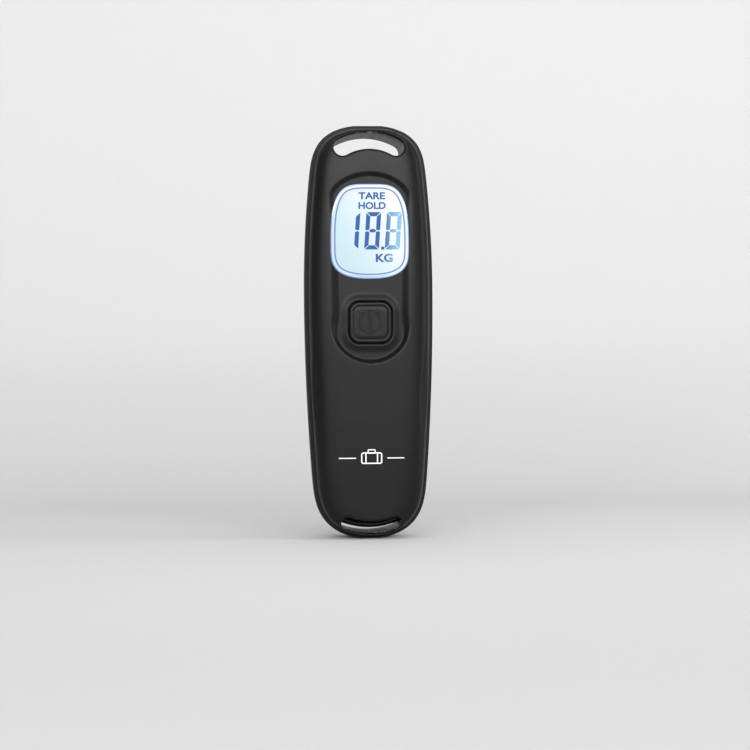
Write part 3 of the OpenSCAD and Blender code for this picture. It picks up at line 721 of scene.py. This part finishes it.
# %% Soft-touch black and its rougher rear version
def soft_black(name, shade, gloss, grain):
    made, place, shader = new_finish(name, Specular_IOR_Level=0.15)
    fine = speckle(place, grain)
    rubbed = speckle(place, 9, 3)
    edges = place.node("ShaderNodeNewGeometry", out="Pointiness")
    worn = unit((edges - 0.512) * 22)
    feed(shader,
         Base_Color=tinted(unit(rubbed * 0.5 + worn * 0.5), shade, [c * 1.7 for c in shade]),
         Roughness=gloss + (fine - 0.5) * 0.12 + (rubbed - 0.5) * 0.1 - worn * 0.08,
         Normal=bumped(fine, 0.004))
    return made


shell_black = soft_black("soft_touch_black", (0.0048, 0.0049, 0.005), 0.38, 0.16)
rear_paint = soft_black("rear_black", (0.0042, 0.0042, 0.0044), 0.48, 0.22)
cap_black = soft_black("button_black", (0.0042, 0.0042, 0.0044), 0.36, 0.14)
fit(front, shell_black, "housing", "soft_touch_black", "front_shell")
fit(rear, rear_paint, "housing", "rear_black", "rear_shell")

# %% [markdown]
# ### Glass, light and metal
# The window's rim glows because light leaks into its bevelled edge, so the glow follows how far a
# point lies from the edge: each ring of the window carries that distance; the glow is painted
# brighter towards the right and the top, where the lamps stand. The display's glow is painted bluer
# and dimmer at its lower left, furthest from the lamps, and the figures are painted paler towards the
# right. Metals share one helper: brushed or milled lines, and roughness that wanders.

# %% Window, display and digits
def window_finish():
    made, place, shader = new_finish("window", Roughness=0.06, IOR=1.49, Emission_Strength=0.92)
    inward = place.node("ShaderNodeAttribute", out="Fac", attribute_name="inward")
    x, z = place.split("XZ")

    def past(edge, soft, place=inward):
        """0 before an edge, 1 beyond it."""
        return unit((place - edge) / soft)

    rim = 1 - past(1.05, 0.12)
    inner_line = past(1.05, 0.12) * (1 - past(1.42, 0.12))
    outer_line = 1 - past(0.2, 0.2)
    low_line = past(0.55, 0.1) * (1 - past(0.75, 0.1))
    low_line = low_line * (1 - past(lens_low.z + 2.2, 0.8, z / MM)) * (1 - past(4, 2, abs(x) / MM))
    dark = unit(outer_line * 0.85 + inner_line * 0.95 + low_line * 0.6)
    # painted light: the rim's glow is painted brighter towards the right and the top, where the lamps
    # stand
    bright = unit(0.35 + unit((x + z * 0.3) / (20 * MM) + 1.0) * 0.65)
    glow = tinted(bright, (0.50, 0.68, 0.93), (0.83, 0.92, 1.0))
    glow = tinted(dark, glow, (0.06, 0.12, 0.32))
    shown = unit(rim + inner_line)
    feed(shader, Base_Color=tinted(shown, (0.01, 0.01, 0.01), (0.05, 0.07, 0.12)),
         Alpha=shown * 0.96 + 0.04,
         Emission_Color=tinted(shown, (0, 0, 0), glow))
    return made


def display_finish():
    made, place, shader = new_finish("display", Roughness=0.25, Specular_IOR_Level=0.1,
                                     Emission_Strength=1.03)
    x, z = place.split("XZ")
    across = (x / MM + 9) / 18
    upward = (z / MM - lens_low.z) / (lens_high.z - lens_low.z)
    # painted light: the display's glow is whiter towards its upper right, where the lamps stand, and bluer
    # and dimmer towards its lower left
    lit = unit(across * 0.62 + upward * 0.55 - 0.12 + (speckle(place, 9, 1) - 0.5) * 0.12)
    feed(shader, Base_Color=tinted(lit, (0.04, 0.05, 0.06), (0.06, 0.06, 0.06)),
         Emission_Color=tinted(eased(lit), (0.60, 0.80, 0.87), (0.97, 1.0, 1.0)))
    return made


def figure_finish():
    made, place, shader = new_finish("figures", Roughness=0.4, Specular_IOR_Level=0.05,
                                     Emission_Strength=0.95)
    x, z = place.split("XZ")
    # painted light: the figures turn paler towards the right of the digit row, where the display is
    # painted lit
    pale = eased(unit((x / MM - 3.9) / 4.6)) * unit((top_z - 25.6 - z / MM) / 0.3)
    feed(shader, Base_Color=tinted(pale, (0.004, 0.008, 0.02), (0.01, 0.02, 0.03)),
         Emission_Color=tinted(pale, (0.055, 0.16, 0.46), (0.34, 0.66, 0.93)))
    return made


window_glass, display_glass, figure_blue = window_finish(), display_finish(), figure_finish()


# %% Metals, plastics, rubber and board
def metal(name, shade, gloss, lines=0.0, cell=0.4):
    made, place, shader = new_finish(name, Metallic=1.0)
    drag = place.node("ShaderNodeMapping", {"Vector": place, "Scale": (1.0, 1.0, 0.06)})
    brushed = speckle(drag, cell, 2)
    cloud = speckle(place, 5, 2)
    feed(shader, Base_Color=tinted(cloud, [c * 0.9 for c in shade], shade),
         Roughness=gloss + (cloud - 0.5) * 0.16 + (brushed - 0.5) * lines,
         Normal=bumped(brushed, 0.003 + lines * 0.01))
    return made


def plain(name, shade, gloss, grain=0.3, depth=0.004, **constants):
    made, place, shader = new_finish(name, **constants)
    fine, cloud = speckle(place, grain), speckle(place, 6, 2)
    feed(shader, Base_Color=tinted(cloud, [c * 0.88 for c in shade], shade),
         Roughness=gloss + (cloud - 0.5) * 0.12, Normal=bumped(fine, depth))
    return made


def board_finish():
    """Solder mask with tracks: bands of a grid that a coarse cell pattern turns on and off."""
    made, place, shader = new_finish("board_green", Coat_Weight=0.3)
    cells = place.node("ShaderNodeTexVoronoi", {"Vector": place, "Scale": 1 / (3.4 * MM)},
                       out="Distance", distance="MANHATTAN")
    track = unit((0.09 - abs(cells * 4 - (cells * 4).calc("ROUND"))) * 14)
    feed(shader, Base_Color=tinted(track, (0.008, 0.055, 0.02), (0.02, 0.12, 0.045)),
         Roughness=0.32 + track * 0.08, Normal=bumped(track, 0.02))
    return made


# Each row: what makes the finish, its slot, the CAD nodes that carry it, and its values.
cad_finishes = [
    (plain, "gasket", "window_gasket", (0.02, 0.02, 0.022), 0.85, 0.4, 0.02),
    (plain, "light_guide", "light_guide", (0.85, 0.93, 0.96), 0.2, 0.8, 0.01),
    (plain, "led", "backlight_leds", (0.9, 0.82, 0.4), 0.25),
    (plain, "white_plastic", "display_frame switch_plunger", (0.78, 0.78, 0.75), 0.42),
    (plain, "contact_rubber", "contact_strip", (0.6, 0.26, 0.32), 0.6),
    (plain, "component_black", "board_components controller_blob switch_body",
     (0.018, 0.018, 0.018), 0.38, 0.2, 0.006),
    (metal, "screw_steel", "board_screws bracket_screws anchor_bolt yoke_bolt",
     (0.52, 0.53, 0.55), 0.28, 0.05),
    (metal, "cell_steel", "coin_cell", (0.64, 0.65, 0.66), 0.2, 0.04),
    (metal, "contact_brass", "positive_contact negative_contact", (0.78, 0.56, 0.22), 0.26, 0.08),
    (plain, "lead_red", "battery_leads", (0.48, 0.02, 0.015), 0.4),
    (plain, "lead_white", "gauge_leads", (0.68, 0.68, 0.66), 0.4),
    (metal, "plate_steel", "anchor_bracket yoke_plate", (0.46, 0.47, 0.49), 0.34, 0.12),
    (metal, "cell_aluminium", "load_cell", (0.74, 0.75, 0.77), 0.3, 0.16, 0.25),
    (metal, "gauge_foil", "strain_gauges", (0.72, 0.48, 0.2), 0.3, 0.1, 0.12),
]
finishes = {slot: maker(slot, *values) for maker, slot, nodes, *values in cad_finishes}
finishes["display"], finishes["board_green"] = display_glass, board_finish()
finishes["stirrup_black"] = plain("stirrup_black", (0.012, 0.012, 0.013), 0.34, 0.25, 0.006,
                                  Coat_Weight=0.25)
carriers = {slot: nodes.split() for maker, slot, nodes, *values in cad_finishes}
carriers |= {"display": ["lcd_cell"], "board_green": ["circuit_board"], "stirrup_black": ["strap_stirrup"]}

# %% [markdown]
# ## Window, display and figures
# The window is one pane built up in rings from its outline, so that every ring knows its distance
# from the edge. Behind it the figures lie on the face of the display cell. Each digit is seven
# segments; a segment is drawn once for a width, a height and a stroke, and is then shrunk a little
# to leave the gaps.

# %% Window pane
pane_rings = [0.0, 0.12, 0.26, 0.45, 0.65, 0.85, 1.05, 1.17, 1.3, 1.42, 1.54, 1.9, 2.8]
pane_levels = [(0.0, lens_high.y), (0.0, lens_low.y + 0.4), (0.06, lens_low.y + 0.18)]
pane_levels += [(r, lens_low.y + 0.18 * max(0, 1 - r / 0.9) ** 2) for r in pane_rings[1:]]
pane = stack("window_pane", lens_line, pane_levels)
known = pane.data.attributes.new("inward", "FLOAT", "POINT")
for level, (inward, _) in enumerate(pane_levels):
    for k in range(len(lens_line)):
        known.data[level * len(lens_line) + k].value = inward if level else 3.0
smooth(pane)
fit(pane, window_glass, "housing", "window", "window_lens")

# %% Digits
figure_back, figure_front = lcd_low.y - 0.01, lcd_low.y - 0.04
digit_width, digit_height, stroke, lean, gap = 4.5, 11.1, 1.36, math.tan(math.radians(4)), 0.06
segment_of = {"1": "bc", "8": "abcdefg"}


def segment(letter):
    """One segment of a digit, as points measured from the digit's top left corner."""
    w, h, t = digit_width, digit_height, stroke
    middle = h / 2
    shapes = {
        "a": [(0.15, 0), (w - 0.15, 0), (w - t, t), (t, t)],
        "b": [(w, 0.15), (w, middle - 0.25), (w - t * 0.45, middle - 0.05),
              (w - t, middle - 0.35), (w - t, t)],
        "c": [(w, middle + 0.25), (w, h - 0.15), (w - t, h - t),
              (w - t, middle + 0.35), (w - t * 0.45, middle + 0.05)],
        "d": [(t, h - t), (w - t, h - t), (w - 0.15, h), (0.15, h)],
        "g": [(t * 0.7, middle), (t * 1.3, middle - t * 0.42), (w - t * 1.3, middle - t * 0.42),
              (w - t * 0.7, middle), (w - t * 1.3, middle + t * 0.42), (t * 1.3, middle + t * 0.42)],
    }
    mirrored = {"f": "b", "e": "c"}
    if letter in mirrored:
        return [(w - x, drop) for x, drop in shapes[mirrored[letter]]]
    return shapes[letter]


def thin_solids(name, outlines, depths):
    """One mesh with a thin solid on each outline. The depths are functions of a place."""
    points, faces = [], []
    for outline in outlines:
        start, count = len(points), len(outline)
        points += [(x, depth(x, z), z) for depth in depths for x, z in outline]
        for k in range(count):
            a, b = start + k, start + (k + 1) % count
            faces.append((a, b, b + count, a + count))
        faces += [tuple(range(start, start + count)), tuple(range(start + count, start + 2 * count))]
    return mesh_object(name, points, faces)


def digit_outlines(text, places, drop):
    outlines = []
    for letter, left in zip(text, places):
        for part in segment_of[letter]:
            points = [(left + x + (digit_height / 2 - down) * lean, top_z - drop - down)
                      for x, down in segment(part)]
            outlines.append(inset_points(points, gap))
    return outlines


outlines = digit_outlines("188", (-7.35, -1.2, 4.9), 25.7)
outlines.append([(3.5 + x, top_z - 35.9 - z) for x, z in ((0, 0), (0, 0.9), (0.95, 0.9), (0.95, 0))])
digits = thin_solids("display_digits", outlines, (lambda x, z: figure_front, lambda x, z: figure_back))
fit(digits, figure_blue, "housing", "display")


# %% Legends
def legend(name, text, x0, x1, drop0, drop1):
    """Plain capitals from the built-in font, made a mesh and fitted to a box."""
    words = bpy.data.curves.new(name, "FONT")
    words.body, words.extrude, words.offset = text, 0.1, 0.035
    made = linked(name, words)
    mesh = as_mesh(made)
    bpy.data.objects.remove(made)
    lows = [min(v.co[k] for v in mesh.vertices) for k in range(3)]
    highs = [max(v.co[k] for v in mesh.vertices) for k in range(3)]
    for v in mesh.vertices:
        across, up, out = ((v.co[k] - lows[k]) / (highs[k] - lows[k]) for k in range(3))
        v.co = (MM * (x0 + across * (x1 - x0)), MM * (figure_back + out * (figure_front - figure_back)),
                MM * (top_z - drop1 + up * (drop1 - drop0)))
    return linked(name, mesh)


for words in (("legend_tare", "TARE", -3.1, 4.75, 19.9, 22.0),
              ("legend_hold", "HOLD", -3.1, 4.95, 22.8, 24.9),
              ("legend_unit", "KG", 1.9, 6.95, 38.0, 40.5)):
    fit(legend(*words), figure_blue, "housing", "display")

# %% [markdown]
# ## The power button
# A raised border runs round a shallow dish, and the power sign stands up in the dish. Below, a
# flange keeps the cap from falling out, and a stem reaches the switch.

# %% Power button
cap_width, cap_height = button_width - 2 * button_gap, button_height - 2 * button_gap
cap_line = rounded_points(cap_width, cap_height, button_corner - button_gap, button_drop)
cap_front = cap_low.y
flange_front = floor_y + front_wall + 0.1
cap_back = flange_front + 0.8
cap_bevel = [(0, 0.42), (0.05, 0.2), (0.2, 0.05), (0.42, 0), (0.85, 0), (1.0, 0.05), (1.12, 0.22),
             (1.25, 0.3), (1.45, 0.26), (1.9, 0.2), (3.2, 0.26)]
cap = stack("power_button_cap", cap_line, [
    (0, cap_back), *[(inward, cap_front + sunk) for inward, sunk in cap_bevel]])


def power_sign(front, back):
    """An open ring and a bar, as two bevelled solids on the dish."""
    outer, inner, opening = 3.5, 2.72, 38
    angles = [math.radians(90 + opening + (360 - 2 * opening) * k / 48) for k in range(49)]
    band = [(outer * math.cos(a), outer * math.sin(a)) for a in angles]
    band += [(inner * math.cos(a), inner * math.sin(a)) for a in reversed(angles)]
    bar = [(-0.45, 3.4), (-0.45, -1.4), (0, -1.9), (0.45, -1.4), (0.45, 3.4)]
    levels = [(0, back), (0, front + 0.07), (0.08, front)]
    return [stack("sign", [(x, top_z - button_drop + z) for x, z in line], levels) for line in (band, bar)]


flange_line = rounded_points(cap_high.x - cap_low.x, cap_high.z - cap_low.z, button_corner, button_drop)
cap = shaped(cap, ("UNION", [
    prism(flange_line, flange_front, cap_back),
    rod(0, button_drop, 2.25, cap_back - 0.01, cap_high.y),
    *power_sign(cap_front + 0.02, cap_front + 0.45)]))
smooth(cap, 40)
fit(cap, cap_black, "button", "button_black", "power_button")

# %% [markdown]
# ## The back: cover, screws and grip
# The battery cover is a disc with a coin slot, a skirt and three lugs that turn under the shell.
# The case screws are one screw set on four points, each turned by chance, as a driver leaves them.
# The grip on the cover is one rib repeated round a circle.

# %% Battery cover
disc_rear = back_y - cover_sink
cover_line = circle_points(0, coin_drop, cover_radius, 144)
cover_bevel = [(0, 0.4), (0.08, 0.15), (0.3, 0.02), (0.5, 0), (1.9, 0), (2.1, 0.25), (3.2, 0.25), (3.4, 0)]
cover = stack("battery_cover_disc", cover_line, [
    (0, cover_front), *[(inward, disc_rear - sunk) for inward, sunk in cover_bevel]])
coin_slot = rounded_points(15, 2.2, 1.05, coin_drop)
mark_back, mark_front = disc_rear + 1, disc_rear - 0.25
arrow = [(0, 8.4), (1.1, 6.9), (-1.1, 6.9)]
cover = shaped(cover, ("UNION", [
    ring(skirt_inner, skirt_outer, skirt_end, cover_front + 0.05),
    *lugs(cover_radius - 0.05, lug_angle, 0, skirt_end, skirt_end + lug_thickness)]),
    ("DIFFERENCE", [
        stack("slot", coin_slot, [(0, disc_rear - 1.1), (0, disc_rear - 0.2), (-0.25, mark_back)]),
        prism([(x, top_z - coin_drop + z) for x, z in arrow], mark_front, mark_back)]))
smooth(cover)
fit(cover, rear_paint, "cover", "rear_black", "battery_cover")


# %% Copies on points: the screws and the ribs
def copies(label, original, sizes, points, turns, finish):
    """Puts an object on points, each copy turned about the depth, and makes them one mesh."""
    tree, start = new_tree(label, {**sizes, "Finish": ""})
    spots = points(start)
    turned = start.node("ShaderNodeCombineXYZ", {"Y": turns(start)})
    placed = spots.node("GeometryNodeInstanceOnPoints", {
        "Points": spots, "Instance": start.pick("Geometry"), "Rotation": turned})
    finish_tree(placed)
    made = grow(label, tree, sizes, finish, base=original.data)
    bpy.data.objects.remove(original)
    return made


def corner_points(start):
    """Four points: a wide pair below and a narrow pair above."""
    grid = start.node("GeometryNodeMeshGrid", {
        "Size X": 2.0, "Size Y": 2.0, "Vertices X": 2, "Vertices Y": 2})
    across, up = start.node("GeometryNodeInputPosition").split("XY")
    x, z = (start.pick("Low " + axis) + (start.pick("High " + axis) - start.pick("Low " + axis)) * (up > 0)
            for axis in "XZ")
    spot = start.node("ShaderNodeCombineXYZ", {"X": across * x, "Z": z})
    return grid.node("GeometryNodeSetPosition", {"Geometry": grid, "Position": spot})


def random_turn(start):
    return start.node("FunctionNodeRandomValue", {2: 0.0, 3: math.pi, 8: start.pick("Seed")}, out=1)


screw_seat = screw_high.y - screw_head_height
screw = stack("screw", circle_points(0, top_z, screw_radius, 48), [
    (0.15, screw_seat), (0, screw_seat + 0.12), (0, screw_high.y - 0.5), (0.25, screw_high.y - 0.2),
    (0.7, screw_high.y - 0.04), (1.2, screw_high.y)])
shank_rings = [(0, screw_low.y)] + [(0.16 * (k % 2), screw_low.y + 0.25 * (k + 1)) for k in range(30)]
screw = shaped(screw, ("UNION", [
    stack("shank", circle_points(0, top_z, screw_radius * 0.54, 32),
          [*shank_rings, (0.1, screw_seat + 0.1)])]),
    ("DIFFERENCE", [
        prism(box_points(-w, w, top_z - h, top_z + h), screw_high.y - 0.75, screw_high.y + 1)
        for w, h in ((1.15, 0.2), (0.2, 1.15))]))
(low_x, low_place), (high_x, high_place) = screw_places[1], screw_places[3]
screws = copies("case_screw_set", screw, {
    "Low X": low_x * MM, "High X": high_x * MM, "Low Z": low_place * MM, "High Z": high_place * MM,
    "Seed": 4}, corner_points, random_turn, finishes["screw_steel"])
smooth(screws, 30)
fit(screws, finishes["screw_steel"], "housing", "screw_steel", "case_screws")


def circle_of_points(start):
    circle = start.node("GeometryNodeMeshCircle", {
        "Vertices": start.pick("Count"), "Radius": start.pick("Radius")})
    across, up = start.node("GeometryNodeInputPosition").split("XY")
    spot = start.node("ShaderNodeCombineXYZ", {"X": across, "Z": up + (top_z - coin_drop) * MM})
    return circle.node("GeometryNodeSetPosition", {"Geometry": circle, "Position": spot})


def facing_out(start):
    return start.node("GeometryNodeInputIndex") * -2 * math.pi / start.pick("Count")


rib = stack("rib", rounded_points(1.0, 0.36, 0.17, top_z, 4), [
    (0, disc_rear - 0.3), (0, disc_rear - 0.08), (0.08, disc_rear)])
ribs = copies("cover_grip", rib, {"Count": 60, "Radius": (cover_radius - 2.65) * MM},
              circle_of_points, facing_out, rear_paint)
smooth(ribs)
fit(ribs, rear_paint, "cover", "rear_black")

# %% [markdown]
# ## Printed sign
# A white suitcase between two thin lines is printed near the lower end. It is drawn flat, cut into
# short pieces and laid on the front face, so it follows the face's curve.

# %% Suitcase sign
face_tree = BVHTree.FromPolygons([v.co for v in front.data.vertices],
                                 [tuple(p.vertices) for p in front.data.polygons])


def laid_on_face(x, z):
    """The depth of the front face at a place, in millimetres."""
    hit = face_tree.ray_cast(Vector((x * MM, -0.05, z * MM)), Vector((0, 1, 0)))[0]
    return hit.y / MM


def bar_pieces(x0, x1, drop0, drop1, steps=1):
    """A bar cut into short pieces along its width."""
    return [box_points(x0 + (x1 - x0) * k / steps, x0 + (x1 - x0) * (k + 1) / steps, drop0, drop1)
            for k in range(steps)]


def frame_pieces(half, drop0, drop1, radius, line):
    """A rounded frame cut into short pieces round its outline."""
    height = drop1 - drop0
    outer = rounded_points(2 * half, height, radius, (drop0 + drop1) / 2, 6)
    inner = rounded_points(2 * (half - line), height - 2 * line, radius - line, (drop0 + drop1) / 2, 6)
    return [[outer[k - 1], outer[k], inner[k], inner[k - 1]] for k in range(len(outer))]


sign_drop = body_length * 0.8
sign = frame_pieces(3.1, sign_drop - 1.3, sign_drop + 2.1, 0.7, 0.36)
sign += frame_pieces(1.2, sign_drop - 2.2, sign_drop - 0.9, 0.45, 0.3)
sign += [box_points(s - 0.17, s + 0.17, sign_drop - 1.1, sign_drop + 1.9) for s in (-1.7, 1.7)]
for side in (-1, 1):
    sign += bar_pieces(side * 4.6, side * 9.6, sign_drop + 0.25, sign_drop + 0.55, 8)
white_ink = plain("white_ink", (0.78, 0.78, 0.78), 0.5)
ink_lift = 0.02
printed = thin_solids("printed_sign", sign, (
    lambda x, z: laid_on_face(x, z) - ink_lift, lambda x, z: laid_on_face(x, z) + ink_lift))
fit(printed, white_ink, "housing", "soft_touch_black")

# %% [markdown]
# ## The CAD parts that stay
# The parts inside keep their CAD shape. Each gets its finish on its own slots.

# %% Finishes on the CAD parts
replaced = {"front_shell", "rear_shell", "window_lens", "power_button", "battery_cover", "case_screws"}
for slot, names in carriers.items():
    for name in names:
        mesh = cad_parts[name].data
        mesh.materials.clear()
        mesh.materials.append(finishes[slot])
kept = {name for names in carriers.values() for name in names}
print("CAD parts with a finish:", len(kept), "without:", set(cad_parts) - kept - replaced)

# %% [markdown]
# ## Floor, light and camera
# The scale stands on its lower end on a pale sheet that curves up behind it. A strip in front and
# above shades the face from its top down, a narrow light at the right catches the flank, a small
# one overhead draws the recess's step, and two more keep the sheet bright. The camera stands a
# little to the left, level with the middle of its view, and is rolled by less than a degree.

# %% A pale sheet that curves up behind the scale
def backdrop():
    floor_z, far_y, bend, height, half = rear_low.z, 420.0, 260.0, 1500.0, 1600.0
    line = [(-1400.0, floor_z)]
    for k in range(25):
        a = math.pi / 2 * k / 24
        line.append((far_y - bend + bend * math.sin(a), floor_z + bend - bend * math.cos(a)))
    line.append((far_y, height))
    points = [(x, y, z) for y, z in line for x in (-half, half)]
    faces = [(2 * k, 2 * k + 1, 2 * k + 3, 2 * k + 2) for k in range(len(line) - 1)]
    made = mesh_object("backdrop", points, faces)
    made.data.shade_smooth()
    paper, place, shader = new_finish("pale_paper", Roughness=0.95)
    feed(shader, Base_Color=tinted(speckle(place, 3), (0.635, 0.635, 0.635), (0.65, 0.65, 0.65)))
    made.data.materials.append(paper)


def soft_light(name, spot, aim, width, height, power):
    lamp = bpy.data.lights.new(name, "AREA")
    lamp.shape, lamp.size, lamp.size_y, lamp.energy = "RECTANGLE", width, height, power
    made = linked(name, lamp)
    made.location = spot
    made.rotation_euler = (Vector(aim) - Vector(spot)).to_track_quat("-Z", "Y").to_euler()


backdrop()
middle_z = (top_z - body_length / 2) * MM
soft_light("front_strip", (0.0, -1.3, 0.26), (0, 0, middle_z + 0.04), 1.8, 0.13, 24.0)
soft_light("overhead", (0.03, -0.13, 0.15), (0, 0, middle_z + 0.05), 0.30, 0.14, 0.2)
soft_light("right_side", (0.55, -0.10, -0.03), (0, 0, middle_z), 0.16, 0.5, 1.0)
for name, x in (("sheet_left", -0.8), ("sheet_right", 0.8)):
    soft_light(name, (x, -0.2, 0.9), (0, 0.4, 0), 0.9, 0.9, 2.2)
world = bpy.data.worlds.new("studio")
bpy.context.scene.world = world
world.use_nodes = True
sky = world.node_tree.nodes["Background"]
sky.inputs["Color"].default_value = (1, 1, 1, 1)
sky.inputs["Strength"].default_value = 0.22
bpy.context.scene.view_settings.view_transform = "Standard"

# %% Camera
view_distance, view_turn, view_roll, view_width = 0.62, -4.5, -0.4, 0.2192
aim = Vector((0.0011, front_low.y * MM, middle_z - 0.0127))
turn = math.radians(view_turn)
camera_data = bpy.data.cameras.new("camera")
camera_data.sensor_width = 36
camera_data.lens = 36 * view_distance / view_width
camera = linked("camera", camera_data)
camera.location = aim + view_distance * Vector((math.sin(turn), -math.cos(turn), 0))
camera.rotation_mode = "QUATERNION"
roll = Quaternion((0, 0, 1), math.radians(view_roll))
camera.rotation_quaternion = (aim - camera.location).to_track_quat("-Z", "Y") @ roll
bpy.context.scene.camera = camera
